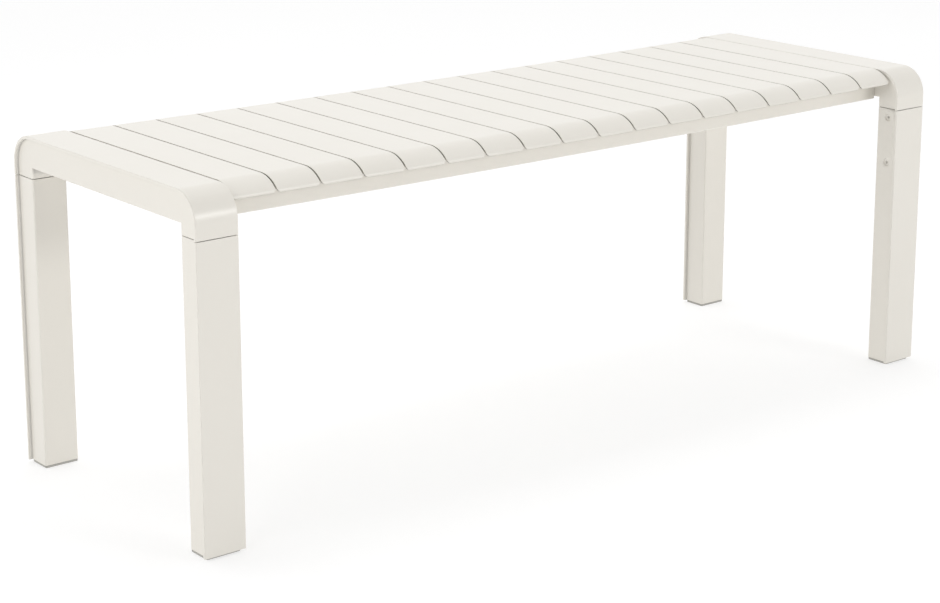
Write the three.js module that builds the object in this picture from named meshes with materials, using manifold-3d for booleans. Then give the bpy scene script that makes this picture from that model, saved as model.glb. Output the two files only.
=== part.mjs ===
// Powder-coated aluminium garden bench: two arched end frames on four legs, two rails and eighteen
// cross slats. Millimetres, +Z up. +X runs along the length, the front faces -Y, and the origin is
// on the floor under the middle of the seat.
import * as THREE from "three";
import { mergeVertices } from "three/addons/utils/BufferGeometryUtils.js";
import Module from "manifold-3d";

const wasm = await Module();
wasm.setup();

// Overall sizes
const LENGTH = 1295;
const DEPTH = 450;
const HEIGHT = 460;
const DISH = 2.8; // how far the middle of the seat lies below its ends

// End frames: an outer skin that stands proud of a box body on both sides
const FRAME_WIDTH = 60;
const SKIN_THICKNESS = 4;
const SKIN_OVERHANG = 5;
const LEG_DEPTH = 41; // skin and body together, front to back
const BEAM_DEPTH = 44; // skin and body together, top to bottom of the arch's beam
const BODY_WALL = 3;
const ARCH_RADIUS = 40;
const SEAM_DROP = 58; // seat top to the joint between arch and leg
const SEAM_GAP = 0.8;
const SKIN_EDGE = 1.2; // rounding of the skin's long edges
const BODY_EDGE = 2.5; // rounding of the body's inner corners

// Slats: pressed trays with folded edges, open underneath
const SLAT_COUNT = 18;
const SLAT_GAP = 2.2;
const SLAT_SKIN = 2.5;
const SLAT_FOLD = 14; // depth of the folded edges, measured from the top
const SLAT_SETBACK = 15.5; // frame front to slat lip
const NOSE_RADIUS = 46; // how the slat ends roll over
const NOSE_DROP = 16; // seat top to where the roll meets the lip
const LIP_HEIGHT = 3.5;
const LIP_CORNER = 4; // cut across the lower corners of the lip
const RIB_WIDTH = 12; // solid rib over each rail, which takes the slat's screws

// Rails: rectangular tubes under the slats
const RAIL_SETBACK = 50; // frame front to rail face
const RAIL_WIDTH = 20;
const RAIL_HEIGHT = 33.5;
const RAIL_WALL = 2.5;
const ACCESS_HOLE = 9; // holes under the rail, through which the slat screws are driven

// Spigots, glides and fasteners
const FIT = 0.3; // clearance between pieces that touch or slide together
const SPIGOT_WALL = 4;
const SPIGOT_BELOW = 104; // how far a leg spigot reaches down from the joint
const SPIGOT_TOP_GAP = 2; // from the top of a leg spigot up to where the arch starts to curve
const RAIL_SPIGOT_LENGTH = 32;
const RAIL_SPIGOT_SLACK = 0.6; // over and under a rail spigot, where the rail slopes with the dish
const GLIDE_FLANGE = 3;
const GLIDE_PLUG = 22;
const GLIDE_INSET = 0.5; // glide flange inside the body's outline
const GLIDE_WALL = 3;
const LEG_SCREW_DROPS = [14, 84]; // joint to the two screws of each leg
const LEG_SCREW = 8;
const LEG_SCREW_HEAD = 12;
const LEG_SCREW_SUNK = 0.6; // head top below the leg's face
const LEG_SCREW_LENGTH = 13;
const LEG_SCREW_RIM = 0.4; // straight rim over the head's cone
const LEG_SCREW_KEY = 5;
const RAIL_BOLT = 6;
const RAIL_BOLT_HEAD = 10.5;
const RAIL_BOLT_HEAD_HEIGHT = 3.3;
const RAIL_BOLT_LENGTH = 12;
const RAIL_BOLT_RIM = 1.2; // straight rim under the head's dome
const RAIL_BOLT_SHOULDER = 1.5; // how far the dome draws in by its shoulder
const RAIL_BOLT_CROWN = 0.5; // height of the dome over its shoulder
const RAIL_BOLT_KEY = 4;
const RAIL_BOLT_KEY_DEPTH = 2.3;
const SCREW_TIP = 0.5; // cut round the tip of a screw or bolt
const HEAD_PLAY = 0.5; // screw head inside its countersink, all round

// Places worked out from the sizes above
const halfLength = LENGTH / 2;
const halfDepth = DEPTH / 2;
const bodyWidth = FRAME_WIDTH - 2 * SKIN_OVERHANG;
const frameX = halfLength - FRAME_WIDTH / 2; // middle of an end frame
const slatSpan = LENGTH - 2 * FRAME_WIDTH; // between the two end frames
const slatWidth = (slatSpan - SLAT_GAP * (SLAT_COUNT + 1)) / SLAT_COUNT;
const slatPitch = slatWidth + SLAT_GAP;
const seamZ = HEIGHT - SEAM_DROP;
const legTopZ = seamZ - SEAM_GAP;
const legBottomZ = GLIDE_FLANGE + FIT;
const cavityWidth = bodyWidth - 2 * BODY_WALL;
const cavityDepth = LEG_DEPTH - SKIN_THICKNESS - BODY_WALL;
const cavityMiddle = SKIN_THICKNESS + cavityDepth / 2; // from the skin's face
const railSpan = LENGTH - 2 * (FRAME_WIDTH - SKIN_OVERHANG) - 2 * FIT;
const railTopDrop = SLAT_FOLD + FIT;
const railY = halfDepth - RAIL_SETBACK - RAIL_WIDTH / 2;
const OVERCUT = 1; // how far a cutting shape passes the face it opens
const ROUND_SIDES = 12; // flats that stand for a round hole, shank or head
const CURVE_STEPS = 6; // straight steps in each large curve
const EDGE_STEPS = 3; // and in each small rounded edge
const spigotAbove = SEAM_DROP - ARCH_RADIUS - SPIGOT_TOP_GAP;

const ALONG_X = new THREE.Matrix4().makeBasis(
  new THREE.Vector3(0, 1, 0),
  new THREE.Vector3(0, 0, 1),
  new THREE.Vector3(1, 0, 0),
);
const ALONG_Y = new THREE.Matrix4().makeBasis(
  new THREE.Vector3(1, 0, 0),
  new THREE.Vector3(0, 0, 1),
  new THREE.Vector3(0, -1, 0),
);

const coat = { color: 0xe8e6de, roughness: 0.45, metalness: 0.0 };
const castCoat = { color: 0xe6e4dc, roughness: 0.5, metalness: 0.0 };
const alloy = { color: 0xb9bcbf, roughness: 0.4, metalness: 1.0 };
const steel = { color: 0xc9c8c2, roughness: 0.35, metalness: 1.0 };
const nylon = { color: 0x8d8b85, roughness: 0.7, metalness: 0.0 };

// Height of the seat's dish at x: 0 at the end frames, -DISH in the middle
function dishAt(x) {
  const t = x / (slatSpan / 2);
  return -DISH * (1 - t * t);
}

function dishSlope(x) {
  const half = slatSpan / 2;
  return (2 * DISH * x) / (half * half);
}

function toSolid(geometry) {
  const bare = geometry.clone();
  bare.deleteAttribute("normal");
  bare.deleteAttribute("uv");
  const merged = mergeVertices(bare, 1e-4);
  return new wasm.Manifold(
    new wasm.Mesh({
      numProp: 3,
      vertProperties: new Float32Array(merged.attributes.position.array),
      triVerts: new Uint32Array(merged.index.array),
    }),
  );
}

function toGeometry(solid) {
  const mesh = solid.getMesh();
  const geometry = new THREE.BufferGeometry();
  geometry.setAttribute("position", new THREE.BufferAttribute(mesh.vertProperties, 3));
  geometry.setIndex(new THREE.BufferAttribute(mesh.triVerts, 1));
  geometry.computeVertexNormals();
  return geometry;
}

// A shape drawn in two axes and pulled along the third, centred on it
function pulled(shape, length, basis = new THREE.Matrix4(), curveSegments = CURVE_STEPS) {
  const geometry = new THREE.ExtrudeGeometry(shape, {
    depth: length,
    bevelEnabled: false,
    curveSegments,
  });
  geometry.translate(0, 0, -length / 2);
  return geometry.applyMatrix4(basis);
}

function boxSolid(width, depth, height, x, y, z) {
  return toSolid(new THREE.BoxGeometry(width, depth, height).translate(x, y, z));
}

function rodSolid(radiusTop, radiusBottom, length, sides, turn, x, y, z) {
  const rod = new THREE.CylinderGeometry(radiusTop, radiusBottom, length, sides);
  return toSolid(rod.applyMatrix4(new THREE.Matrix4().makeRotationFromEuler(turn)).translate(x, y, z));
}

// Outline of the leg: y runs from the skin's face (0) to the body's inner face
function legOutline() {
  const skinX = FRAME_WIDTH / 2;
  const bodyX = bodyWidth / 2;
  const shape = new THREE.Shape();
  shape.moveTo(-skinX + SKIN_EDGE, 0);
  shape.lineTo(skinX - SKIN_EDGE, 0);
  shape.absarc(skinX - SKIN_EDGE, SKIN_EDGE, SKIN_EDGE, -Math.PI / 2, 0, false);
  shape.lineTo(skinX, SKIN_THICKNESS);
  shape.lineTo(bodyX, SKIN_THICKNESS);
  shape.lineTo(bodyX, LEG_DEPTH - BODY_EDGE);
  shape.absarc(bodyX - BODY_EDGE, LEG_DEPTH - BODY_EDGE, BODY_EDGE, 0, Math.PI / 2, false);
  shape.lineTo(-bodyX + BODY_EDGE, LEG_DEPTH);
  shape.absarc(-bodyX + BODY_EDGE, LEG_DEPTH - BODY_EDGE, BODY_EDGE, Math.PI / 2, Math.PI, false);
  shape.lineTo(-bodyX, SKIN_THICKNESS);
  shape.lineTo(-skinX, SKIN_THICKNESS);
  shape.lineTo(-skinX, SKIN_EDGE);
  shape.absarc(-skinX + SKIN_EDGE, SKIN_EDGE, SKIN_EDGE, Math.PI, 1.5 * Math.PI, false);
  return shape;
}

// Leg: hollow section with two countersunk holes in the wall on side `inward` (+1 or -1 along x)
function legGeometry(inward) {
  const length = legTopZ - legBottomZ;
  const middle = (legTopZ + legBottomZ) / 2;
  const cavity = boxSolid(cavityWidth, cavityDepth, length + 2 * OVERCUT, 0, cavityMiddle, middle);
  const blank = pulled(legOutline(), length, undefined, EDGE_STEPS).translate(0, 0, middle);
  let leg = toSolid(blank).subtract(cavity);
  const turn = new THREE.Euler(0, 0, (-inward * Math.PI) / 2);
  const flare = OVERCUT * ((LEG_SCREW_HEAD - LEG_SCREW) / 2 / BODY_WALL);
  for (const drop of LEG_SCREW_DROPS) {
    const hole = rodSolid(
      LEG_SCREW_HEAD / 2 + FIT + flare,
      LEG_SCREW / 2 + FIT - flare,
      BODY_WALL + 2 * OVERCUT,
      ROUND_SIDES,
      turn,
      inward * (bodyWidth / 2 - BODY_WALL / 2),
      cavityMiddle,
      seamZ - drop,
    );
    leg = leg.subtract(hole);
  }
  return toGeometry(leg);
}

// Side outline of a band that follows the arch, `inset` inside its outer face
function archPath(shape, inset, bottom) {
  const radius = ARCH_RADIUS - inset;
  const y = halfDepth - inset;
  const centreZ = HEIGHT - ARCH_RADIUS;
  shape.moveTo(-y, bottom);
  shape.lineTo(-y, centreZ);
  shape.absarc(-halfDepth + ARCH_RADIUS, centreZ, radius, Math.PI, Math.PI / 2, true);
  shape.lineTo(halfDepth - ARCH_RADIUS, HEIGHT - inset);
  shape.absarc(halfDepth - ARCH_RADIUS, centreZ, radius, Math.PI / 2, 0, true);
  shape.lineTo(y, bottom);
}

// The same band closed on its inner side by straight faces with square corners
function archShape(inset, innerLeg, innerBeam, bottom) {
  const shape = new THREE.Shape();
  archPath(shape, inset, bottom);
  shape.lineTo(halfDepth - innerLeg, bottom);
  shape.lineTo(halfDepth - innerLeg, HEIGHT - innerBeam);
  shape.lineTo(-halfDepth + innerLeg, HEIGHT - innerBeam);
  shape.lineTo(-halfDepth + innerLeg, bottom);
  return shape;
}

// The outer skin alone, an even band all the way round
function skinShape() {
  const shape = new THREE.Shape();
  archPath(shape, 0, seamZ);
  const radius = ARCH_RADIUS - SKIN_THICKNESS;
  const centreZ = HEIGHT - ARCH_RADIUS;
  const innerY = halfDepth - SKIN_THICKNESS;
  shape.lineTo(innerY, seamZ);
  shape.lineTo(innerY, centreZ);
  shape.absarc(halfDepth - ARCH_RADIUS, centreZ, radius, 0, Math.PI / 2, false);
  shape.lineTo(-halfDepth + ARCH_RADIUS, HEIGHT - SKIN_THICKNESS);
  shape.absarc(-halfDepth + ARCH_RADIUS, centreZ, radius, Math.PI / 2, Math.PI, false);
  shape.lineTo(-innerY, seamZ);
  return shape;
}

// Arch: the inverted-U top of an end frame, hollow, and open where the legs join
function archGeometry() {
  const body = archShape(SKIN_THICKNESS / 2, LEG_DEPTH, BEAM_DEPTH, seamZ);
  const hollow = archShape(
    SKIN_THICKNESS,
    LEG_DEPTH - BODY_WALL,
    BEAM_DEPTH - BODY_WALL,
    seamZ - OVERCUT,
  );
  const skin = toSolid(pulled(skinShape(), FRAME_WIDTH, ALONG_X));
  const box = toSolid(pulled(body, bodyWidth, ALONG_X));
  return toGeometry(skin.add(box).subtract(toSolid(pulled(hollow, cavityWidth, ALONG_X))));
}

// Leg spigot: a sleeve inside leg and arch, tapped for the leg's two screws
function spigotGeometry(inward) {
  const width = cavityWidth - 2 * FIT;
  const depth = cavityDepth - 2 * FIT;
  const height = spigotAbove + SPIGOT_BELOW;
  const middle = seamZ + (spigotAbove - SPIGOT_BELOW) / 2;
  let sleeve = boxSolid(width, depth, height, 0, cavityMiddle, middle).subtract(
    boxSolid(
      width - 2 * SPIGOT_WALL,
      depth - 2 * SPIGOT_WALL,
      height + 2 * OVERCUT,
      0,
      cavityMiddle,
      middle,
    ),
  );
  const turn = new THREE.Euler(0, 0, (-inward * Math.PI) / 2);
  for (const drop of LEG_SCREW_DROPS) {
    const tapped = rodSolid(
      LEG_SCREW / 2 + FIT,
      LEG_SCREW / 2 + FIT,
      SPIGOT_WALL + 2 * OVERCUT,
      ROUND_SIDES,
      turn,
      inward * (width / 2 - SPIGOT_WALL / 2),
      cavityMiddle,
      seamZ - drop,
    );
    sleeve = sleeve.subtract(tapped);
  }
  return toGeometry(sleeve);
}

// Turned screw standing on its tip: profile points are [radius, height], and the key is a hexagon
function screwGeometry(profile, keyWidth, keyDepth) {
  const points = profile.map(([radius, height]) => new THREE.Vector2(radius, height));
  const top = profile[profile.length - 1][1];
  const key = rodSolid(
    keyWidth / Math.sqrt(3),
    keyWidth / Math.sqrt(3),
    keyDepth + OVERCUT,
    6,
    new THREE.Euler(Math.PI / 2, 0, 0),
    0,
    0,
    top - (keyDepth - OVERCUT) / 2,
  );
  const turned = new THREE.LatheGeometry(points, ROUND_SIDES).rotateX(Math.PI / 2);
  return toGeometry(toSolid(turned).subtract(key));
}

// Countersunk leg screw, head top at z = 0
function legScrewGeometry() {
  const headHeight = BODY_WALL - LEG_SCREW_SUNK;
  const profile = [
    [0, -LEG_SCREW_LENGTH],
    [LEG_SCREW / 2 - SCREW_TIP, -LEG_SCREW_LENGTH],
    [LEG_SCREW / 2, -LEG_SCREW_LENGTH + SCREW_TIP],
    [LEG_SCREW / 2, -headHeight],
    [LEG_SCREW_HEAD / 2 - HEAD_PLAY, -LEG_SCREW_RIM],
    [LEG_SCREW_HEAD / 2 - HEAD_PLAY, 0],
    [0, 0],
  ];
  return screwGeometry(profile, LEG_SCREW_KEY, headHeight);
}

// Button-head rail bolt, underside of the head at z = 0
function railBoltGeometry() {
  const profile = [
    [0, -RAIL_BOLT_LENGTH],
    [RAIL_BOLT / 2 - SCREW_TIP, -RAIL_BOLT_LENGTH],
    [RAIL_BOLT / 2, -RAIL_BOLT_LENGTH + SCREW_TIP],
    [RAIL_BOLT / 2, 0],
    [RAIL_BOLT_HEAD / 2, 0],
    [RAIL_BOLT_HEAD / 2, RAIL_BOLT_RIM],
    [RAIL_BOLT_HEAD / 2 - RAIL_BOLT_SHOULDER, RAIL_BOLT_HEAD_HEIGHT - RAIL_BOLT_CROWN],
    [RAIL_BOLT_HEAD / 4, RAIL_BOLT_HEAD_HEIGHT],
    [0, RAIL_BOLT_HEAD_HEIGHT],
  ];
  return screwGeometry(profile, RAIL_BOLT_KEY, RAIL_BOLT_KEY_DEPTH);
}

// Foot glide: a flange under the body with a hollow plug inside it
function glideGeometry() {
  const bodyDepth = LEG_DEPTH - SKIN_THICKNESS;
  const plugWidth = cavityWidth - 2 * FIT;
  const plugDepth = cavityDepth - 2 * FIT;
  const flange = boxSolid(
    bodyWidth - 2 * GLIDE_INSET,
    bodyDepth - 2 * GLIDE_INSET,
    GLIDE_FLANGE,
    0,
    SKIN_THICKNESS + bodyDepth / 2,
    GLIDE_FLANGE / 2,
  );
  const plugHeight = GLIDE_PLUG + GLIDE_FLANGE / 2;
  const plugZ = (GLIDE_FLANGE + plugHeight) / 2;
  const plug = boxSolid(plugWidth, plugDepth, plugHeight, 0, cavityMiddle, plugZ);
  const pocket = boxSolid(
    plugWidth - 2 * GLIDE_WALL,
    plugDepth - 2 * GLIDE_WALL,
    GLIDE_PLUG + OVERCUT,
    0,
    cavityMiddle,
    GLIDE_FLANGE + (GLIDE_PLUG + OVERCUT) / 2,
  );
  return toGeometry(flange.add(plug).subtract(pocket));
}

// Side outline of a slat's top, `inset` below its surface, from one lip's foot to the other
function slatTopPath(shape, inset, foot) {
  const noseRun = Math.sqrt(NOSE_RADIUS ** 2 - (NOSE_RADIUS - NOSE_DROP) ** 2);
  const lipY = halfDepth - SLAT_SETBACK;
  const centreY = lipY - noseRun;
  const radius = NOSE_RADIUS - inset;
  const edgeY = lipY - inset;
  const angle = Math.acos((edgeY - centreY) / radius);
  shape.moveTo(-edgeY, -foot);
  shape.absarc(-centreY, -NOSE_RADIUS, radius, Math.PI - angle, Math.PI / 2, true);
  shape.absarc(centreY, -NOSE_RADIUS, radius, Math.PI / 2, angle, true);
  shape.lineTo(edgeY, -foot);
}

function slatSideShape() {
  const foot = NOSE_DROP + LIP_HEIGHT;
  const lipY = halfDepth - SLAT_SETBACK;
  const lipInner = lipY - SLAT_SKIN;
  const foldEnd = lipInner - (foot - SLAT_FOLD);
  const shape = new THREE.Shape();
  slatTopPath(shape, 0, foot);
  shape.lineTo(lipInner, -foot);
  shape.lineTo(foldEnd, -SLAT_FOLD);
  shape.lineTo(-foldEnd, -SLAT_FOLD);
  shape.lineTo(-lipInner, -foot);
  return shape;
}

// End view of a slat with the lower corners of its lips cut off
function slatEndShape() {
  const foot = NOSE_DROP + LIP_HEIGHT;
  const half = slatWidth / 2;
  const shape = new THREE.Shape();
  shape.moveTo(-half, OVERCUT);
  shape.lineTo(-half, -foot + LIP_CORNER);
  shape.lineTo(-half + LIP_CORNER, -foot);
  shape.lineTo(-half + LIP_CORNER, -foot - OVERCUT);
  shape.lineTo(half - LIP_CORNER, -foot - OVERCUT);
  shape.lineTo(half - LIP_CORNER, -foot);
  shape.lineTo(half, -foot + LIP_CORNER);
  shape.lineTo(half, OVERCUT);
  return shape;
}

// Slat: a tray 1 slat wide, with its top at z = 0 and a rib over each rail
function slatGeometry() {
  const inside = new THREE.Shape();
  slatTopPath(inside, SLAT_SKIN, 2 * (NOSE_DROP + LIP_HEIGHT));
  let cavity = toSolid(pulled(inside, slatWidth - 2 * SLAT_SKIN, ALONG_X));
  for (const side of [-1, 1]) {
    cavity = cavity.subtract(boxSolid(slatWidth, RIB_WIDTH, 2 * SLAT_FOLD, 0, side * railY, -SLAT_FOLD));
  }
  const blank = toSolid(pulled(slatSideShape(), slatWidth, ALONG_X));
  const trim = toSolid(pulled(slatEndShape(), DEPTH, ALONG_Y));
  return toGeometry(blank.intersect(trim).subtract(cavity));
}

// Side outline of a rail between two drops below the seat top, following the dish
function railShape(topDrop, bottomDrop, span) {
  const shape = new THREE.Shape();
  const steps = SLAT_COUNT;
  for (let i = 0; i <= steps; i += 1) {
    const x = (i / steps - 0.5) * span;
    const z = HEIGHT - bottomDrop + dishAt(x);
    if (i === 0) shape.moveTo(x, z);
    else shape.lineTo(x, z);
  }
  for (let i = steps; i >= 0; i -= 1) {
    const x = (i / steps - 0.5) * span;
    shape.lineTo(x, HEIGHT - topDrop + dishAt(x));
  }
  return shape;
}

// X of each slat's middle
function slatMiddles() {
  return Array.from({ length: SLAT_COUNT }, (_, i) => (i - (SLAT_COUNT - 1) / 2) * slatPitch);
}

// Rail: a tube with a hole under each slat, and a bolt hole near each end of its face `inward`
// (+1 or -1 along y), which is the face towards the middle of the bench
function railGeometry(inward) {
  const bottomDrop = railTopDrop + RAIL_HEIGHT;
  const tube = toSolid(pulled(railShape(railTopDrop, bottomDrop, railSpan), RAIL_WIDTH, ALONG_Y));
  const bore = railShape(railTopDrop + RAIL_WALL, bottomDrop - RAIL_WALL, railSpan + 2 * OVERCUT);
  let rail = tube.subtract(toSolid(pulled(bore, RAIL_WIDTH - 2 * RAIL_WALL, ALONG_Y)));
  const upright = new THREE.Euler(Math.PI / 2, 0, 0);
  const cut = RAIL_WALL + 2 * OVERCUT;
  for (const x of slatMiddles()) {
    const access = ACCESS_HOLE / 2;
    const z = railUnderside(x) + RAIL_WALL / 2;
    rail = rail.subtract(rodSolid(access, access, cut, ROUND_SIDES, upright, x, 0, z));
  }
  const clear = RAIL_BOLT / 2 + FIT;
  const wallY = inward * (RAIL_WIDTH / 2 - RAIL_WALL / 2);
  const across = new THREE.Euler();
  for (const side of [-1, 1]) {
    const x = side * railBoltX();
    rail = rail.subtract(rodSolid(clear, clear, cut, ROUND_SIDES, across, x, wallY, railMiddle(x)));
  }
  return toGeometry(rail);
}

function railBoltX() {
  return railSpan / 2 - RAIL_SPIGOT_LENGTH / 4;
}

function railUnderside(x) {
  return HEIGHT - railTopDrop - RAIL_HEIGHT + dishAt(x);
}

function railMiddle(x) {
  return railUnderside(x) + RAIL_HEIGHT / 2;
}

// Rail spigot: the block on the arch that the end of a rail slides over, tapped in its face `inward`
// (+1 or -1 along y)
function railSpigotGeometry(inward) {
  const height = RAIL_HEIGHT - 2 * RAIL_WALL - 2 * RAIL_SPIGOT_SLACK;
  const width = RAIL_WIDTH - 2 * RAIL_WALL - 2 * FIT;
  const block = boxSolid(RAIL_SPIGOT_LENGTH, width, height, 0, 0, 0);
  const bore = RAIL_BOLT / 2 + FIT;
  const depth = RAIL_BOLT_LENGTH - RAIL_WALL;
  const x = RAIL_SPIGOT_LENGTH / 4;
  const middle = inward * (width / 2 - (depth - OVERCUT) / 2);
  const tapped = rodSolid(bore, bore, depth + OVERCUT, ROUND_SIDES, new THREE.Euler(), x, middle, 0);
  return toGeometry(block.subtract(tapped));
}

function piece(name, geometry, look) {
  const mesh = new THREE.Mesh(geometry, new THREE.MeshStandardMaterial({ name, ...look }));
  mesh.name = name;
  return mesh;
}

const bench = new THREE.Group();
bench.name = "garden_bench";

const ends = [
  { name: "left", x: -frameX, inward: 1 },
  { name: "right", x: frameX, inward: -1 },
];
const sides = [
  { name: "front", y: -halfDepth, turn: 0 },
  { name: "rear", y: halfDepth, turn: Math.PI },
];

// A leg with everything that is fixed to it, its skin's face at y = 0
function legGroup(end, side) {
  const group = new THREE.Group();
  const label = side.name + "_" + end.name;
  const inward = side.turn === 0 ? end.inward : -end.inward;
  group.add(piece(label + "_leg", legGeometry(inward), coat));
  group.add(piece(label + "_leg_spigot", spigotGeometry(inward), alloy));
  group.add(piece(label + "_foot_glide", glideGeometry(), nylon));
  LEG_SCREW_DROPS.forEach((drop, i) => {
    const screw = piece(label + "_leg_screw_" + (i + 1), legScrewGeometry(), steel);
    screw.rotation.y = (inward * Math.PI) / 2;
    screw.position.set(inward * (bodyWidth / 2 - LEG_SCREW_SUNK), cavityMiddle, seamZ - drop);
    group.add(screw);
  });
  group.position.set(end.x, side.y, 0);
  group.rotation.z = side.turn;
  return group;
}

// A rail with its two spigots and bolts, which are driven from the middle of the bench
function railGroup(side) {
  const group = new THREE.Group();
  const inward = side.y < 0 ? 1 : -1;
  group.add(piece(side.name + "_rail", railGeometry(inward), coat));
  for (const end of ends) {
    const outward = -end.inward;
    const x = outward * (railSpan / 2 - RAIL_SPIGOT_LENGTH / 2);
    const label = side.name + "_rail_";
    const spigot = piece(label + "spigot_" + end.name, railSpigotGeometry(outward * inward), alloy);
    spigot.position.set(x, 0, railMiddle(x));
    spigot.rotation.z = outward > 0 ? 0 : Math.PI;
    const bolt = piece(label + "bolt_" + end.name, railBoltGeometry(), steel);
    const boltX = outward * railBoltX();
    bolt.position.set(boltX, inward * (RAIL_WIDTH / 2 + FIT), railMiddle(boltX));
    bolt.rotation.x = (-inward * Math.PI) / 2;
    group.add(spigot, bolt);
  }
  group.position.y = side.y < 0 ? -railY : railY;
  return group;
}

for (const end of ends) {
  const arch = piece(end.name + "_end_arch", archGeometry(), castCoat);
  arch.position.x = end.x;
  bench.add(arch);
  for (const side of sides) bench.add(legGroup(end, side));
}
for (const side of sides) bench.add(railGroup(side));
slatMiddles().forEach((x, i) => {
  const slat = piece("slat_" + String(i + 1).padStart(2, "0"), slatGeometry(), coat);
  slat.position.set(x, 0, HEIGHT + dishAt(x));
  slat.rotation.y = -Math.atan(dishSlope(x));
  bench.add(slat);
});

export default bench;
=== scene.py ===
"""Visual model of a powder-coated aluminium garden bench, built round its CAD frame.

The bench stands on z = 0 with its length along X and its front edge towards -Y. Every object is in
metres and keeps its place in its mesh.
"""

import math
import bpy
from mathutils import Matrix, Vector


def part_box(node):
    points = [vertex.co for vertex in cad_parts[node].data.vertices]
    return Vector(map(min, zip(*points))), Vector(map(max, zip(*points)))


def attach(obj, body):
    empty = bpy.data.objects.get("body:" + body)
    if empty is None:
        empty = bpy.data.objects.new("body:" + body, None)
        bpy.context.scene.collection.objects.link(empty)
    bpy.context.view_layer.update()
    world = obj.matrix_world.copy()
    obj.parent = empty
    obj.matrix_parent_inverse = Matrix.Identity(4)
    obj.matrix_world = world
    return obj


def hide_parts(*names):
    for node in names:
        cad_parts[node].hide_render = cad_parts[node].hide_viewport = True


bl_info = {
    "name": "Garden Bench Builder",
    "version": (1, 0, 0),
    "blender": (4, 5, 0),
    "location": "View3D > Sidebar > Bench",
    "description": "Builds the visible pieces, finishes and studio of an aluminium garden bench",
    "category": "Object",
}

from collections import namedtuple

import bmesh
import bpy
from bpy.props import FloatProperty, FloatVectorProperty, IntProperty, PointerProperty
from mathutils import Matrix, Vector

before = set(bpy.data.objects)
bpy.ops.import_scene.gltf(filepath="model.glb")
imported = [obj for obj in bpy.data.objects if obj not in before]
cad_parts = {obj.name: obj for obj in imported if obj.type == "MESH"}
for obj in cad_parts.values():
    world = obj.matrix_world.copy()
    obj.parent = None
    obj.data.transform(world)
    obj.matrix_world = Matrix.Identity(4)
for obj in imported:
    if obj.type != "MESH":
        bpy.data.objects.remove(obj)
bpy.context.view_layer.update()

X, Y, Z = Vector((1, 0, 0)), Vector((0, 1, 0)), Vector((0, 0, 1))
RIGHT_ANGLE = math.pi / 2
WHITE = (1.0, 1.0, 1.0, 1.0)

# How close two places count as the same, in metres
TOUCH = 1e-5
NEAR = 1e-4  # on a rounded corner, where flats cut inside the curve
ON_FACE = 2e-4  # off the flat face that a point belongs to
MERGE = 1e-6  # doubled vertices
CUT = 1e-7  # beside a cutting plane
ALONG = 0.999  # cosine from which two directions count as the same
FLAT = math.radians(0.3)  # faces that turn by less lie in one plane

# Flats in a rounded edge
FINE, MEDIUM, BROAD, BROADEST = 2, 3, 4, 5

FACE_WEIGHT = 80  # how strongly large faces keep their own shading

ENDS = {"left": -1, "right": 1}
SIDES = {"front": -1, "rear": 1}
SLATS = sorted(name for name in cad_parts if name.startswith("slat_"))

Seat = namedtuple("Seat", "half_span top width pitch")


# ---------------------------------------------------------------------------------------------
# Settings that a user would change


def length(name, description, default, top=0.2):
    """A length in metres, shown in the scene's units."""
    return FloatProperty(
        name=name, description=description, default=default, min=0.0, max=top,
        precision=4, subtype="DISTANCE", unit="LENGTH",
    )


def amount(name, description, default, top=1.0):
    """A plain number."""
    return FloatProperty(
        name=name, description=description, default=default, min=0.0, max=top,
    )


def watts(name, description, default):
    """The power of a light."""
    return FloatProperty(
        name=name, description=description, default=default, min=0.0, max=500.0, unit="POWER",
    )


def colour(name, description, default):
    return FloatVectorProperty(
        name=name, description=description, default=default, min=0.0, max=1.0, size=3,
        subtype="COLOR",
    )


class BenchFrameSizes(bpy.types.PropertyGroup):
    """Sizes of the end frames and legs"""

    overhang: length("Skin overhang", "How far the outer skin stands out past the box body", 0.005)
    skin: length("Skin thickness", "Thickness of the outer skin", 0.004)
    leg_depth: length("Leg depth", "Skin and body together, front to back", 0.041)
    beam_depth: length("Beam depth", "Skin and body together, top to bottom of the arch", 0.044)
    corner: length("Corner radius", "Outer radius of the arch's two corners", 0.040)
    wall: length("Wall", "Wall of the hollow body", 0.003)
    skin_edge: length("Skin edge", "Rounding of the skin's outer edges", 0.0013)
    under_edge: length("Skin underside edge", "Rounding of the skin's inner edges", 0.0004)
    body_edge: length("Body edge", "Rounding of the body's inner corners", 0.0025)
    joint_edge: length("Joint edge", "Rounding along the joint of arch and leg", 0.0004)
    corner_steps: IntProperty(
        name="Corner steps", description="Flats in each corner of the arch",
        default=24, min=4, max=64,
    )


class BenchSlatSizes(bpy.types.PropertyGroup):
    """Sizes of the seat slats"""

    gap: length("Gap", "Gap between neighbouring slats", 0.0022)
    setback: length("Setback", "Front of the end frames to the slats' lip", 0.0155)
    sheet: length("Sheet", "Thickness of the slat's sheet", 0.0025)
    fold: length("Fold depth", "Depth of the folded long edges", 0.014)
    fold_edge: length("Fold rounding", "Outer rounding of the folded edges", 0.0006)
    nose: length("Nose radius", "How the slat ends roll over", 0.046)
    nose_drop: length("Nose drop", "Seat top to where the roll meets the lip", 0.016)
    lip: length("Lip height", "Height of the short upright lip", 0.0035)
    lip_bend: length("Lip bend", "Rounding where the roll turns into the lip", 0.0022)
    lip_corner: length("Lip corner", "Cut across the lower corners of the lip", 0.004)
    rib: length("Rib width", "Width of the solid rib over each rail", 0.012)
    dish: length("Dish", "How far the seat's middle lies below its ends", 0.0028)
    nose_steps: IntProperty(
        name="Nose steps", description="Flats in each rolled end", default=14, min=3, max=48,
    )


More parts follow.
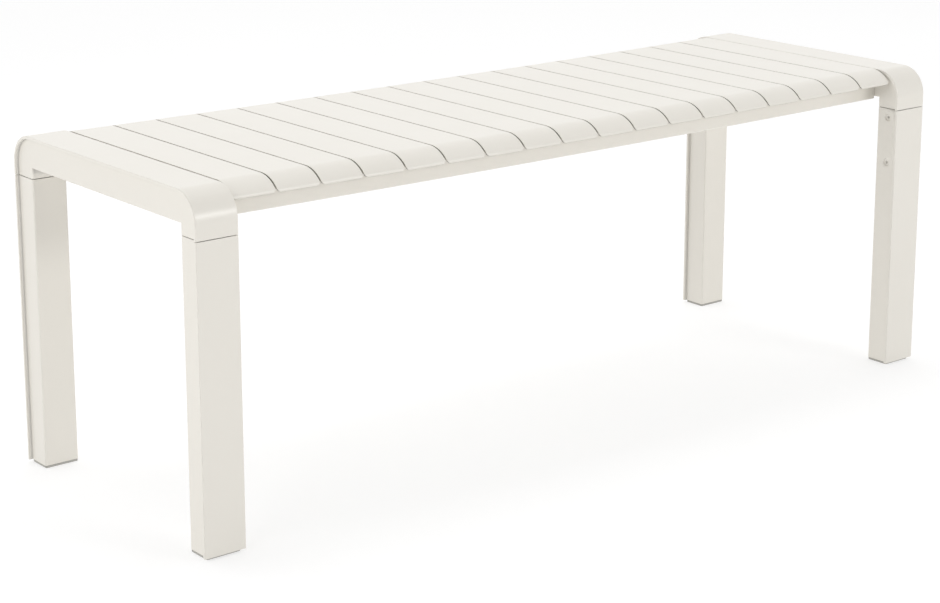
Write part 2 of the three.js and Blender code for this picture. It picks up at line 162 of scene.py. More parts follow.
class BenchPartSizes(bpy.types.PropertyGroup):
    """Sizes of the rails, glides and screws"""

    rail_height: length("Rail height", "Height of the rail tube", 0.0335)
    rail_fit: length("Rail fit", "Clearance between the slats and the rail", 0.0003)
    wall: length("Rail wall", "Wall of the rail tube", 0.0025)
    edge: length("Rail edge", "Rounding of the rail's long edges", 0.002)
    hole: length("Access hole", "Holes under the rail for the slat screws", 0.009)
    flange: length("Glide flange", "Thickness of the foot glide's flange", 0.003)
    glide_edge: length("Glide corner", "Rounding of the foot glide's corners", 0.0022)
    screw_hole: length("Screw countersink", "Wide end of the leg screw's countersink", 0.0126)
    screw_shank: length("Screw shank hole", "Narrow end of the leg screw's countersink", 0.0086)
    screw_cone: length("Screw cone", "Height of the leg screw's head", 0.0024)
    screw_thread: length("Screw thread", "Radius of the leg screw's thread", 0.004)
    screw_key: length("Screw key", "Hexagon of the leg screw, across its flats", 0.004)
    screw_sink: length("Screw sink", "How far the leg screw's head lies below its hole's rim", 0.0011)
    screw_rim: length("Screw rim", "Upright rim and rounding of the leg screw's head", 0.0002)
    tip: length("Tip", "Cut round the tips of the leg screws and rail bolts", 0.0005)
    bolt_head: length("Bolt head", "Height of the rail bolt's head", 0.0033)
    bolt_thread: length("Bolt thread", "Radius of the rail bolt's thread", 0.003)
    bolt_rim: length("Bolt rim", "Cut round the underside of the rail bolt's head", 0.0003)
    bolt_key: length("Bolt key", "Hexagon of the rail bolt, across its flats", 0.004)
    bolt_key_depth: length("Bolt key depth", "Depth of the rail bolt's hexagon", 0.0022)
    slat_head: length("Slat screw head", "Height of a slat screw's head", 0.0024)
    slat_head_radius: length("Slat screw radius", "Radius of a slat screw's head", 0.0038)
    slat_thread: length("Slat screw thread", "Radius of a slat screw's thread", 0.002)
    slat_screw: length("Slat screw length", "From under the head to the tip", 0.0115)
    slat_tip: length("Slat screw tip", "Cut round a slat screw's tip, half as wide as long", 0.0006)
    slat_key: length("Slat screw key", "Hexagon of a slat screw, across its flats", 0.0025)
    round_steps: IntProperty(
        name="Round steps", description="Flats round each hole and screw head",
        default=24, min=12, max=96,
    )
    slat_screw_steps: IntProperty(
        name="Slat screw steps", description="Flats round each slat screw",
        default=12, min=6, max=48,
    )


class BenchFinish(bpy.types.PropertyGroup):
    """Colours and surface of the finishes"""

    coat: colour("Coat", "Warm off-white powder coat", (0.772, 0.744, 0.685))
    coat_shade: colour("Coat shade", "Slightly deeper tone in the coat", (0.752, 0.722, 0.659))
    # Painted shade: the dark, dusty tone that the coats take in narrow joints and gaps, where shade falls
    shade_and_dust: colour("Dust", "Fine dust that settles in joints and gaps", (0.30, 0.275, 0.23))
    glide: colour("Glide", "Moulded nylon of the foot glides", (0.42, 0.41, 0.38))
    steel: colour("Steel", "Stainless steel of the bolts and slat screws", (0.60, 0.58, 0.54))
    alloy: colour("Alloy", "Bare aluminium of the hidden spigots", (0.72, 0.73, 0.74))
    coat_roughness: FloatProperty(
        name="Coat roughness", description="Roughness of the powder coat",
        default=0.31, min=0.0, max=1.0, subtype="FACTOR",
    )


class BenchStudio(bpy.types.PropertyGroup):
    """Camera and lights"""

    lens: FloatProperty(
        name="Lens", description="Focal length", default=86.54, min=20, max=300, unit="CAMERA",
    )
    azimuth: FloatProperty(
        name="Azimuth", description="Camera's bearing round the bench from its front",
        default=math.radians(-38.697), subtype="ANGLE", unit="ROTATION",
    )
    elevation: FloatProperty(
        name="Elevation", description="Camera's angle above the floor",
        default=math.radians(13.502), subtype="ANGLE", unit="ROTATION",
    )
    distance: length("Distance", "Camera to the point it looks at", 3.2538, top=20.0)
    aim: FloatVectorProperty(
        name="Aim", description="Point that the camera looks at",
        default=(-0.0197, 0.0442, 0.3222), subtype="XYZ_LENGTH", unit="LENGTH", size=3,
    )
    rise: FloatProperty(
        name="Vertical shift", description="Vertical lens shift, as a share of the view's width",
        default=-0.12, min=-0.5, max=0.5,
    )
    surround: amount("Surround", "Strength of the white surround", 1.15, top=5.0)
    dim: amount("Dim part", "Strength of the surround high up in front", 0.24, top=5.0)
    dim_way: FloatVectorProperty(
        name="Dim direction", description="Middle of the surround's dim part",
        default=(-0.38, -0.58, 0.72), subtype="DIRECTION", size=3,
    )
    dim_edge: amount("Dim edge", "Cosine from the dim direction where the dimming starts", 0.35)
    dim_core: amount("Dim core", "Cosine from the dim direction where the dimming is full", 0.9)
    floor_radius: length("Floor radius", "Radius of the floor", 14.0, top=50.0)
    floor_glow: amount("Floor glow", "How much the floor lights up by itself", 0.6)
    key: watts("Key light", "Power of the large light on the left", 36.0)
    top: watts("Top light", "Power of the soft light above the seat", 20.0)
    strip: watts("Strip light", "Power of the light that draws a bright line along the bends", 38.0)


# ---------------------------------------------------------------------------------------------
# Mesh work


def new_verts(made):
    return [g for g in made if isinstance(g, bmesh.types.BMVert)]


def new_edges(made):
    return [g for g in made if isinstance(g, bmesh.types.BMEdge)]


def pull(bm, edges, offset):
    """Pulls edges along offset as a sheet and returns the far edges."""
    made = bmesh.ops.extrude_edge_only(bm, edges=edges)["geom"]
    verts = set(new_verts(made))
    bmesh.ops.translate(bm, verts=list(verts), vec=offset)
    return [e for e in new_edges(made) if e.verts[0] in verts and e.verts[1] in verts]


def roll(bm, edges, centre, angle, steps):
    """Turns edges about an axis along X as a sheet and returns the far edges."""
    verts = {v for e in edges for v in e.verts}
    made = bmesh.ops.spin(
        bm, geom=list(edges) + list(verts), cent=centre, axis=X, angle=angle, steps=steps,
        use_duplicate=False,
    )["geom_last"]
    return new_edges(made)


def push(bm, faces, offset):
    """Pulls faces along offset as a solid and returns the moved faces."""
    region = set(faces)
    part_of_solid = any(other not in region for f in faces for e in f.edges for other in e.link_faces)
    made = bmesh.ops.extrude_face_region(bm, geom=faces)["geom"]
    if part_of_solid:
        bmesh.ops.delete(bm, geom=faces, context="FACES")
    bmesh.ops.translate(bm, verts=new_verts(made), vec=offset)
    return [g for g in made if isinstance(g, bmesh.types.BMFace)]


def outward(bm):
    bmesh.ops.recalc_face_normals(bm, faces=bm.faces)
    bm.normal_update()


def join_flats(bm):
    """Joins faces that lie in one plane."""
    bmesh.ops.dissolve_limit(
        bm, angle_limit=FLAT, verts=bm.verts, edges=bm.edges, use_dissolve_boundaries=False,
    )
    bm.normal_update()


def middle(edge):
    return (edge.verts[0].co + edge.verts[1].co) / 2


def creases(bm, wanted, least=25):
    """Edges that turn by more than `least` degrees and whose middle is wanted."""
    turn = math.radians(least)
    return [
        e for e in bm.edges
        if len(e.link_faces) == 2 and e.calc_face_angle(0) > turn and wanted(e, middle(e))
    ]


def ease(bm, edges, radius, steps):
    """Rounds edges off."""
    if edges and radius > 0:
        bmesh.ops.bevel(
            bm, geom=edges, offset=radius, offset_type="OFFSET", segments=steps, profile=0.5,
            affect="EDGES", material=-1, clamp_overlap=True, loop_slide=True,
        )
        bm.normal_update()


def face_under(bm, point, normal):
    """The flat face that holds point and looks along normal."""
    for face in bm.faces:
        off = (point - face.verts[0].co).dot(face.normal)
        if face.normal.dot(normal) > ALONG and abs(off) < ON_FACE:
            if bmesh.geometry.intersect_face_point(face, point - off * face.normal):
                return face
    raise RuntimeError(f"no flat face at {tuple(round(c, 4) for c in point)}")


def window(bm, point, normal, cuts):
    """Cuts the flat face under point along planes, and returns the part that still holds point."""
    for place, direction in cuts:
        face = face_under(bm, point, normal)
        bmesh.ops.bisect_plane(
            bm, geom=[face, *face.edges, *face.verts], dist=CUT, plane_co=place, plane_no=direction,
        )
        bm.normal_update()
    return face_under(bm, point, normal)


def round_face(bm, point, normal, radius, steps):
    """Cuts a round face into the flat face under point, and returns it."""
    first = Z if abs(normal.z) < 0.5 else X
    second = normal.cross(first).normalized()
    margin, rim = 1.3 * radius, 0.1 * radius
    around = [(point + d * margin, d) for d in (first, -first, second, -second)]
    face = window(bm, point, normal, around)
    bmesh.ops.inset_individual(bm, faces=[face], thickness=rim)
    bm.normal_update()
    face = face_under(bm, point, normal)
    bmesh.ops.bisect_edges(bm, edges=face.edges[:], cuts=steps // 4 - 1, edge_percents={})
    face = face_under(bm, point, normal)
    ring = [loop.vert for loop in face.loops]
    centre = face.calc_center_median()
    corner = max(range(len(ring)), key=lambda i: round((ring[i].co - centre).length, 7))
    across = (ring[corner].co - centre).normalized()
    for i in range(len(ring)):
        turn = Matrix.Rotation(2 * math.pi * i / len(ring), 3, face.normal)
        ring[(corner + i) % len(ring)].co = centre + turn @ across * radius
    bm.normal_update()
    return face_under(bm, point, normal)


def open_between(bm, face, other):
    """Opens a passage between two faces with as many sides as each other."""
    border = list({*face.edges, *other.edges})
    bmesh.ops.delete(bm, geom=[face, other], context="FACES_ONLY")
    bmesh.ops.bridge_loops(bm, edges=border)
    bm.normal_update()


def key_socket(bm, top, key, depth):
    """Sinks a hexagon socket into the round face at height top."""
    at = Vector((0, 0, top))
    rim = key / 20
    bmesh.ops.inset_individual(bm, faces=[face_under(bm, at, Z)], thickness=rim)
    bm.normal_update()
    face = face_under(bm, at, Z)
    sector = math.pi / 3
    for vert in face.verts:
        bearing = math.atan2(vert.co.y, vert.co.x)
        off_flat = (bearing + sector / 2) % sector - sector / 2
        reach = key / 2 / math.cos(off_flat)
        vert.co = Vector((reach * math.cos(bearing), reach * math.sin(bearing), top))
    bm.normal_update()
    push(bm, [face], (0, 0, -depth))


def screw_mesh(profile, key, depth, steps):
    """A screw that points down, with a hexagon socket in its top.

    Its profile is a row of (radius, height) points from the tip to the head.
    """
    bm = bmesh.new()
    verts = [bm.verts.new((radius, 0, height)) for radius, height in profile]
    edges = [bm.edges.new(pair) for pair in zip(verts, verts[1:])]
    bmesh.ops.spin(
        bm, geom=verts + edges, cent=(0, 0, 0), axis=Z, angle=2 * math.pi, steps=steps,
        use_merge=True,
    )
    bmesh.ops.remove_doubles(bm, verts=bm.verts, dist=MERGE)
    for end in (profile[0][1], profile[-1][1]):
        rim = [e for e in bm.edges if e.is_boundary and abs(middle(e).z - end) < TOUCH]
        bmesh.ops.contextual_create(bm, geom=rim)
    outward(bm)
    key_socket(bm, profile[-1][1], key, depth)
    outward(bm)
    return bm


def finished(name, bm, material, nodes=(), sheet=0.0):
    """Makes the mesh a piece that rides on the bench and stands for its CAD nodes.

    A mesh that is an open sheet gets its wall from `sheet`.
    """
    for face in bm.faces:
        face.smooth = True
    mesh = bpy.data.meshes.new(name)
    bm.to_mesh(mesh)
    bm.free()
    mesh.materials.append(material)
    piece = bpy.data.objects.new(name, mesh)
    bpy.context.scene.collection.objects.link(piece)
    if sheet:
        wall = piece.modifiers.new("Sheet", "SOLIDIFY")
        wall.thickness = sheet
        wall.offset = -1
        wall.use_even_offset = True
    shading = piece.modifiers.new("Flat faces stay flat", "WEIGHTED_NORMAL")
    shading.weight = FACE_WEIGHT
    shading.keep_sharp = True
    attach(piece, "root")
    if nodes:
        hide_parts(*nodes)
    return piece


# ---------------------------------------------------------------------------------------------
# Shapes


def skin_wings(bm, depth, sizes):
    """Lets the skin stand out past the body on both sides."""
    for side in (-1, 1):
        wings = [
            f for f in bm.faces
            if f.normal.x * side > ALONG and all(depth(v.co) < sizes.skin + TOUCH for v in f.verts)
        ]
        push(bm, wings, (side * sizes.overhang, 0, 0))
    outward(bm)
    join_flats(bm)


def round_section_edges(bm, lo, hi, depth, inner_edge, joints, sizes):
    """Rounds the long edges of an end frame's section, then the edges round its joints."""
    left, right = lo.x + sizes.overhang, hi.x - sizes.overhang

    def on_joint(m):
        return any(abs(m.z - z) < TOUCH for z in joints)

    def on_skin_side(m):
        return min(m.x - lo.x, hi.x - m.x) < TOUCH and not on_joint(m)

    def body_rim(e, m):
        return inner_edge(m) and min(abs(m.x - left), abs(m.x - right)) < TOUCH and not on_joint(m)

    def outer_rim(e, m):
        return depth(m) < NEAR and on_skin_side(m)

    def under_rim(e, m):
        return abs(depth(m) - sizes.skin) < NEAR and on_skin_side(m)

    ease(bm, creases(bm, body_rim), sizes.body_edge, BROAD)
    ease(bm, creases(bm, outer_rim), sizes.skin_edge, MEDIUM)
    ease(bm, creases(bm, under_rim), sizes.under_edge, FINE)
    ease(bm, creases(bm, lambda e, m: on_joint(m)), sizes.joint_edge, FINE)


def cavity_cuts(lo, hi, outer_y, inward_y, sizes):
    """Planes round the hollow of a leg's body."""
    left = lo.x + sizes.overhang + sizes.wall
    right = hi.x - sizes.overhang - sizes.wall
    near = outer_y + inward_y * sizes.skin
    far = outer_y + inward_y * (sizes.leg_depth - sizes.wall)
    return (
        (Vector((left, 0, 0)), -X),
        (Vector((right, 0, 0)), X),
        (Vector((0, near, 0)), -inward_y * Y),
        (Vector((0, far, 0)), inward_y * Y),
    )


def arch_mesh(node, sizes):
    """The inverted-U top of an end frame: an even skin on a narrower body with square inner corners.

    Each of its two ends has a socket for a leg's spigot.
    """
    lo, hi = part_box(node)
    bm = bmesh.new()
    left, right = lo.x + sizes.overhang, hi.x - sizes.overhang
    corner, centre_z = sizes.corner, hi.z - sizes.corner
    rise, run = centre_z - lo.z, hi.y - lo.y - 2 * corner
    leg_y, beam_z = hi.y - sizes.leg_depth, hi.z - sizes.beam_depth

    def depth(point):
        past_side = max(abs(point.y) - (hi.y - corner), 0.0)
        past_top = max(point.z - centre_z, 0.0)
        return corner - math.hypot(past_side, past_top)

    def inner_edge(m):
        return abs(m.y) < leg_y + TOUCH and m.z < beam_z + TOUCH

    outer, inner = (bm.verts.new((left, lo.y + d, lo.z)) for d in (0.0, sizes.skin))
    edges = [bm.edges.new((outer, inner))]
    edges = pull(bm, edges, (0, 0, rise))
    edges = roll(bm, edges, (left, lo.y + corner, centre_z), -RIGHT_ANGLE, sizes.corner_steps)
    edges = pull(bm, edges, (0, run, 0))
    edges = roll(bm, edges, (left, hi.y - corner, centre_z), -RIGHT_ANGLE, sizes.corner_steps)
    edges = pull(bm, edges, (0, 0, -rise))
    last = min(edges[0].verts, key=lambda v: v.co.y)

    border = [
        e for e in bm.edges
        if e.is_boundary and all(abs(depth(v.co) - sizes.skin) < TOUCH for v in e.verts)
    ]
    chain = [last]
    for y, z in ((leg_y, lo.z), (leg_y, beam_z), (-leg_y, beam_z), (-leg_y, lo.z)):
        chain.append(bm.verts.new((left, y, z)))
    chain.append(inner)
    border += [bm.edges.new(pair) for pair in zip(chain, chain[1:])]
    bmesh.ops.contextual_create(bm, geom=border)
    push(bm, bm.faces[:], (right - left, 0, 0))
    outward(bm)
    skin_wings(bm, depth, sizes)
    round_section_edges(bm, lo, hi, depth, inner_edge, (lo.z,), sizes)

    middle_x = (lo.x + hi.x) / 2
    for side in SIDES.values():
        outer_y = side * hi.y
        point = Vector((middle_x, outer_y - side * sizes.leg_depth / 2, lo.z))
        socket = window(bm, point, -Z, cavity_cuts(lo, hi, outer_y, -side, sizes))
        push(bm, [socket], (0, 0, rise - sizes.wall))
    outward(bm)
    return bm


def leg_mesh(node, side, inward, screws, sizes, parts):
    """A hollow leg with countersunk holes for its screws in the face towards the bench's middle."""
    lo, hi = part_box(node)
    bm = bmesh.new()
    left, right = lo.x + sizes.overhang, hi.x - sizes.overhang
    outer_y, inward_y = (lo.y, 1) if side < 0 else (hi.y, -1)
    inner_y = outer_y + inward_y * sizes.leg_depth

    def depth(point):
        return abs(point.y - outer_y)

    def inner_edge(m):
        return abs(m.y - inner_y) < TOUCH

    depths = (0.0, sizes.skin, sizes.leg_depth)
    row = [bm.verts.new((left, outer_y + inward_y * d, lo.z)) for d in depths]
    pull(bm, [bm.edges.new(pair) for pair in zip(row, row[1:])], (right - left, 0, 0))
    push(bm, bm.faces[:], (0, 0, hi.z - lo.z))
    outward(bm)
    skin_wings(bm, depth, sizes)
    round_section_edges(bm, lo, hi, depth, inner_edge, (lo.z, hi.z), sizes)

    middle_x, middle_y = (lo.x + hi.x) / 2, (outer_y + inner_y) / 2
    cuts = cavity_cuts(lo, hi, outer_y, inward_y, sizes)
    top = window(bm, Vector((middle_x, middle_y, hi.z)), Z, cuts)
    bottom = window(bm, Vector((middle_x, middle_y, lo.z)), -Z, cuts)
    open_between(bm, top, bottom)
    outward(bm)

    face_x = right if inward > 0 else left
    way, steps = inward * X, parts.round_steps
    for screw in screws:
        low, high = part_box(screw)
        at = Vector((face_x, (low.y + high.y) / 2, (low.z + high.z) / 2))
        wide = round_face(bm, at, way, parts.screw_hole / 2, steps)
        narrow = round_face(bm, at - way * sizes.wall, -way, parts.screw_shank / 2, steps)
        open_between(bm, wide, narrow)
    outward(bm)
    return bm


def glide_mesh(node, sizes, parts):
    """A foot glide: a flange under the leg's body with a hollow plug that fills the leg's end."""
    lo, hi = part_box(node)
    bm = bmesh.new()
    flange_z = lo.z + parts.flange
    row = [bm.verts.new((x, lo.y, lo.z)) for x in (lo.x, hi.x)]
    pull(bm, [bm.edges.new(row)], (0, hi.y - lo.y, 0))
    push(bm, bm.faces[:], (0, 0, parts.flange))
    outward(bm)
    foot_edge, top_edge = parts.flange / 5, parts.flange / 8

    def upright(e, m):
        return abs(e.verts[0].co.z - e.verts[1].co.z) > TOUCH

    ease(bm, creases(bm, upright), parts.glide_edge, BROADEST)
    ease(bm, creases(bm, lambda e, m: m.z < lo.z + TOUCH), foot_edge, MEDIUM)
    ease(bm, creases(bm, lambda e, m: m.z > flange_z - TOUCH), top_edge, FINE)
    centre = Vector(((lo.x + hi.x) / 2, (lo.y + hi.y) / 2, flange_z))
    inset = sizes.wall
    cuts = (
        (Vector((lo.x + inset, 0, 0)), -X), (Vector((hi.x - inset, 0, 0)), X),
        (Vector((0, lo.y + inset, 0)), -Y), (Vector((0, hi.y - inset, 0)), Y),
    )
    plug = push(bm, [window(bm, centre, Z, cuts)], (0, 0, hi.z - flange_z))
    bmesh.ops.inset_region(bm, faces=plug, thickness=inset)
    bm.normal_update()
    push(bm, [face_under(bm, centre + (hi.z - flange_z) * Z, Z)], (0, 0, flange_z - hi.z))
    outward(bm)
    return bm


def seat(slats):
    """Half the seat's span, its height at its ends, and the width and pitch of its slats."""
    arch_low, arch_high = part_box("right_end_arch")
    half_span = arch_low.x
    width = (2 * half_span - slats.gap * (len(SLATS) + 1)) / len(SLATS)
    return Seat(half_span, arch_high.z, width, width + slats.gap)


def dish_at(x, slats):
    """The seat's height at x from its ends: nothing there, and below zero between them."""
    return -slats.dish * (1 - (x / seat(slats).half_span) ** 2)


def dish_slope(x, slats):
    return 2 * slats.dish * x / seat(slats).half_span**2


def slat_x(index, slats):
    """The middle of a slat, counted from the left."""
    return (index - (len(SLATS) - 1) / 2) * seat(slats).pitch


def under_slats(slats, parts):
    """The height of the rails' top faces, before the dish."""
    return seat(slats).top - slats.fold - parts.rail_fit


def rail_mesh(node, slats, parts):
    """The sheet of a rectangular tube that follows the seat's dish, with a hole under each slat."""
    lo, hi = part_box(node)
    top = under_slats(slats, parts)
    bm = bmesh.new()

    def height(x, drop):
        return top - drop + dish_at(x, slats)

    gaps = [slat_x(i, slats) + seat(slats).pitch / 2 for i in range(len(SLATS) - 1)]
    stations = [lo.x, *gaps[1:-1], hi.x]
    corners = ((lo.y, 0.0), (hi.y, 0.0), (hi.y, parts.rail_height), (lo.y, parts.rail_height))
    ring = [bm.verts.new((lo.x, y, height(lo.x, drop))) for y, drop in corners]
    edges = [bm.edges.new(pair) for pair in zip(ring, ring[1:] + ring[:1])]
    for start, end in zip(stations, stations[1:]):
        edges = pull(bm, edges, (end - start, 0, height(end, 0) - height(start, 0)))
    outward(bm)
    middle_z = height(0, parts.rail_height / 2)
    if sum(f.normal.z * (f.calc_center_median().z - middle_z) for f in bm.faces) < 0:
        bmesh.ops.reverse_faces(bm, faces=bm.faces)
    ease(bm, creases(bm, lambda e, m: True, least=60), parts.edge, BROAD)
    middle_y = (lo.y + hi.y) / 2
    for i in range(len(SLATS)):
        x = slat_x(i, slats)
        at = Vector((x, middle_y, height(x, parts.rail_height)))
        hole = round_face(bm, at, -Z, parts.hole / 2, parts.round_steps)
        bmesh.ops.delete(bm, geom=[hole], context="FACES_ONLY")
    return bm


def slat_mesh(index, slats):
    """A slat: a pressed tray whose ends roll over into a short lip, with a rib over each rail."""
    width = seat(slats).width
    bm = bmesh.new()
    half = width / 2
    lip_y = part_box("right_end_arch")[1].y - slats.setback
    foot = slats.nose_drop + slats.lip
    run = math.sqrt(slats.nose**2 - (slats.nose - slats.nose_drop) ** 2)
    turn = math.asin(run / slats.nose)

    row = [bm.verts.new((x, -lip_y, -foot)) for x in (-half, half)]
    edges = pull(bm, [bm.edges.new(row)], (0, 0, slats.lip))
    edges = roll(bm, edges, (0, run - lip_y, -slats.nose), -turn, slats.nose_steps)
    edges = pull(bm, edges, (0, 2 * (lip_y - run), 0))
    edges = roll(bm, edges, (0, lip_y - run, -slats.nose), -turn, slats.nose_steps)
    edges = pull(bm, edges, (0, 0, -slats.lip))
    rows_end = edges[0].verts[:]

    lip_back = lip_y - slats.sheet
    fold_end = lip_back - (foot - slats.fold)
    under = ((lip_back, foot), (fold_end, slats.fold), (-fold_end, slats.fold), (-lip_back, foot))
    for x in (-half, half):
        first = next(v for v in row if abs(v.co.x - x) < TOUCH)
        last = next(v for v in rows_end if abs(v.co.x - x) < TOUCH)
        border = [
            e for e in bm.edges
            if e.is_boundary and all(abs(v.co.x - x) < TOUCH for v in e.verts)
        ]
        chain = [last]
        for y, drop in under:
            chain.append(bm.verts.new((x, y, -drop)))
        chain.append(first)
        border += [bm.edges.new(pair) for pair in zip(chain, chain[1:])]
        bmesh.ops.contextual_create(bm, geom=border)
    outward(bm)
    top_face = max(bm.faces, key=lambda f: abs(f.normal.z) * f.calc_area())
    if top_face.normal.z < 0:
        bmesh.ops.reverse_faces(bm, faces=bm.faces)
    ease(bm, creases(bm, lambda e, m: abs(m.x) < half - TOUCH), slats.lip_bend, BROAD)
    ease(bm, creases(bm, lambda e, m: abs(abs(m.x) - half) < TOUCH), slats.fold_edge, BROAD)
    for side in (-1, 1):
        bmesh.ops.bisect_plane(
            bm, geom=bm.verts[:] + bm.edges[:] + bm.faces[:], dist=CUT,
            plane_co=(side * half, 0, slats.lip_corner - foot), plane_no=(side, 0, -1), clear_outer=True,
        )
    bm.normal_update()
    bmesh.ops.solidify(bm, geom=bm.faces[:], thickness=slats.sheet)
    bm.normal_update()

    rail_y = (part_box("rear_rail")[0].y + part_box("rear_rail")[1].y) / 2
    rib_top, rib_foot = -slats.sheet / 2, -slats.fold
    for side in (-1, 1):
        place = Matrix.Translation((0, side * rail_y, (rib_top + rib_foot) / 2))
        size = Matrix.Diagonal((width - slats.sheet, slats.rib, rib_top - rib_foot, 1))
        bmesh.ops.create_cube(bm, size=1, matrix=place @ size)
    bm.normal_update()

    x = slat_x(index, slats)
    place = Matrix.Translation((x, 0, seat(slats).top + dish_at(x, slats)))
    tilt = Matrix.Rotation(-math.atan(dish_slope(x, slats)), 4, "Y")
    bmesh.ops.transform(bm, matrix=place @ tilt, verts=bm.verts)
    return bm


# ---------------------------------------------------------------------------------------------
# Finishes


class Sheet:
    """A material's node tree, built step by step."""

    def __init__(self, name):
        self.material = bpy.data.materials.new(name)
        self.material.use_nodes = True
        self.tree = self.material.node_tree
        self.tree.nodes.clear()
        self.place = self.node("ShaderNodeTexCoord").outputs["Object"]

    def node(self, kind, links=(), **settings):
        made = self.tree.nodes.new(kind)
        for key, value in settings.items():
            setattr(made, key, value)
        for socket, value in dict(links).items():
            target = made.inputs[socket]
            if isinstance(value, bpy.types.NodeSocket):
                self.tree.links.new(value, target)
            else:
                target.default_value = value
        return made

    def noise(self, scale, detail=2.0, rough=0.5, stretch=(1, 1, 1)):
        place = self.node("ShaderNodeMapping", {"Vector": self.place, "Scale": stretch})
        links = {
            "Vector": place.outputs["Vector"], "Scale": scale, "Detail": detail, "Roughness": rough,
        }
        return self.node("ShaderNodeTexNoise", links).outputs["Fac"]

    def spread(self, value, low, high, start=0.3, end=0.7):
        """Stretches a value from start..end to low..high."""
        links = {
            "Value": value, "From Min": start, "From Max": end, "To Min": low, "To Max": high,
        }
        return self.node("ShaderNodeMapRange", links).outputs["Result"]

    def blend(self, share, first, second, mode="MIX"):
        """Mixes two colours."""
        made = self.node("ShaderNodeMix", data_type="RGBA", blend_type=mode, clamp_factor=True)
        share_socket, first_socket, second_socket, result = 0, 6, 7, 2
        for socket, value in ((share_socket, share), (first_socket, first), (second_socket, second)):
            if isinstance(value, bpy.types.NodeSocket):
                self.tree.links.new(value, made.inputs[socket])
            else:
                made.inputs[socket].default_value = value
        return made.outputs[result]

    def times(self, first, second):
        return self.node("ShaderNodeMath", {0: first, 1: second}, operation="MULTIPLY").outputs[0]

    def grey(self, value):
        return self.node("ShaderNodeCombineColor", {0: value, 1: value, 2: value}).outputs[0]

    def bump(self, height, distance, strength=1.0, under=None):
        links = {"Height": height, "Distance": distance, "Strength": strength}
        if under is not None:
            links["Normal"] = under
        return self.node("ShaderNodeBump", links).outputs["Normal"]

    def surface(self, **links):
        shader = self.node("ShaderNodeBsdfPrincipled", {k.replace("_", " "): v for k, v in links.items()})
        self.node("ShaderNodeOutputMaterial", {"Surface": shader.outputs["BSDF"]})
        return self.material


def rgba(values):
    return (*values, 1.0)


def darker(values, share):
    return rgba([value * share for value in values])


# Powder coats: how fine the grain and the orange peel are, how much painted shade and dust lie in a
# joint, and the share of open surroundings at which they are at their darkest
COATS = {
    # The slats get the strongest painted shade, which darkens the gaps between them
    "satin_frame": {"grain": 1600.0, "peel": 420.0, "shade_and_dust": 0.25, "darkest_at": 0.2},
    "satin_arch": {"grain": 1300.0, "peel": 340.0, "shade_and_dust": 0.35, "darkest_at": 0.2},
    "satin_slat": {"grain": 1600.0, "peel": 420.0, "shade_and_dust": 0.95, "darkest_at": 0.52},
}
SHADE_AND_DUST_REACH = 0.006  # how near a wall must be for painted shade and dust, in metres
SHADE_AND_DUST_FREE = 0.75  # share of open surroundings from which no shade and dust is painted
ROUGH_DRIFT = 0.03  # how far the coat's roughness drifts either way
PLASTIC_IOR = 1.5


def powder_coat(name, finish, grain, peel, shade_and_dust, darkest_at):
    """Satin powder coat: fine orange peel, a slow drift of tone, and painted shade with a dusty tint in
    narrow joints.
    """
    sheet = Sheet(name)
    drift = sheet.spread(sheet.noise(5.0, detail=1.0), 0.0, 1.0, start=0.1, end=0.9)
    tone = sheet.blend(drift, rgba(finish.coat), rgba(finish.coat_shade))
    speck = sheet.spread(sheet.noise(1900.0, detail=1.0), low=0.992, high=1.004)
    tone = sheet.blend(1.0, tone, sheet.grey(speck), "MULTIPLY")
    # Painted shade: where ambient occlusion finds walls close by, in gaps, seams and inner corners, the
    # coat darkens towards the dusty shade colour
    occlusion = sheet.node("ShaderNodeAmbientOcclusion", {"Distance": SHADE_AND_DUST_REACH}, samples=6)
    shade_and_dust_share = sheet.spread(occlusion.outputs["AO"], shade_and_dust, 0.0, start=darkest_at, end=SHADE_AND_DUST_FREE)
    patches = sheet.spread(sheet.noise(60.0, detail=3.0), low=0.8, high=1.0)
    tone = sheet.blend(sheet.times(shade_and_dust_share, patches), tone, rgba(finish.shade_and_dust))
    smoothest = finish.coat_roughness - ROUGH_DRIFT
    roughest = finish.coat_roughness + ROUGH_DRIFT
    rough = sheet.spread(sheet.noise(28.0), smoothest, roughest, start=0.1, end=0.9)
    skin = sheet.bump(sheet.noise(peel, detail=1.0), distance=0.00003, strength=0.2)
    skin = sheet.bump(sheet.noise(grain, detail=1.0), distance=0.00001, strength=0.2, under=skin)
    return sheet.surface(Base_Color=tone, Roughness=rough, IOR=PLASTIC_IOR, Normal=skin)


def moulded_nylon(name, finish):
    """Moulded nylon: matt and faintly mottled."""
    sheet = Sheet(name)
    mottled = sheet.spread(sheet.noise(90.0, detail=3.0), low=0.0, high=0.5)
    tone = sheet.blend(mottled, rgba(finish.glide), darker(finish.glide, 0.8))
    rough = sheet.spread(sheet.noise(350.0, detail=3.0), low=0.55, high=0.75)
    skin = sheet.bump(sheet.noise(900.0), distance=0.00008, strength=0.5)
    return sheet.surface(Base_Color=tone, Roughness=rough, IOR=PLASTIC_IOR, Normal=skin)


def bare_metal(sheet, marks, metal, shade, smoothest, roughest):
    """Metal whose working marks change its tone, its roughness and its surface."""
    worked = sheet.spread(marks, low=0.0, high=0.6)
    tone = sheet.blend(worked, rgba(metal), darker(metal, shade))
    rough = sheet.spread(marks, smoothest, roughest)
    skin = sheet.bump(marks, distance=0.00003, strength=0.4)
    return sheet.surface(Base_Color=tone, Metallic=1.0, Roughness=rough, Normal=skin)


def turned_steel(name, finish):
    """Stainless steel with faint turning marks."""
    sheet = Sheet(name)
    marks = sheet.noise(420.0, detail=4.0, rough=0.6, stretch=(1, 1, 6))
    return bare_metal(sheet, marks, finish.steel, shade=0.75, smoothest=0.28, roughest=0.45)


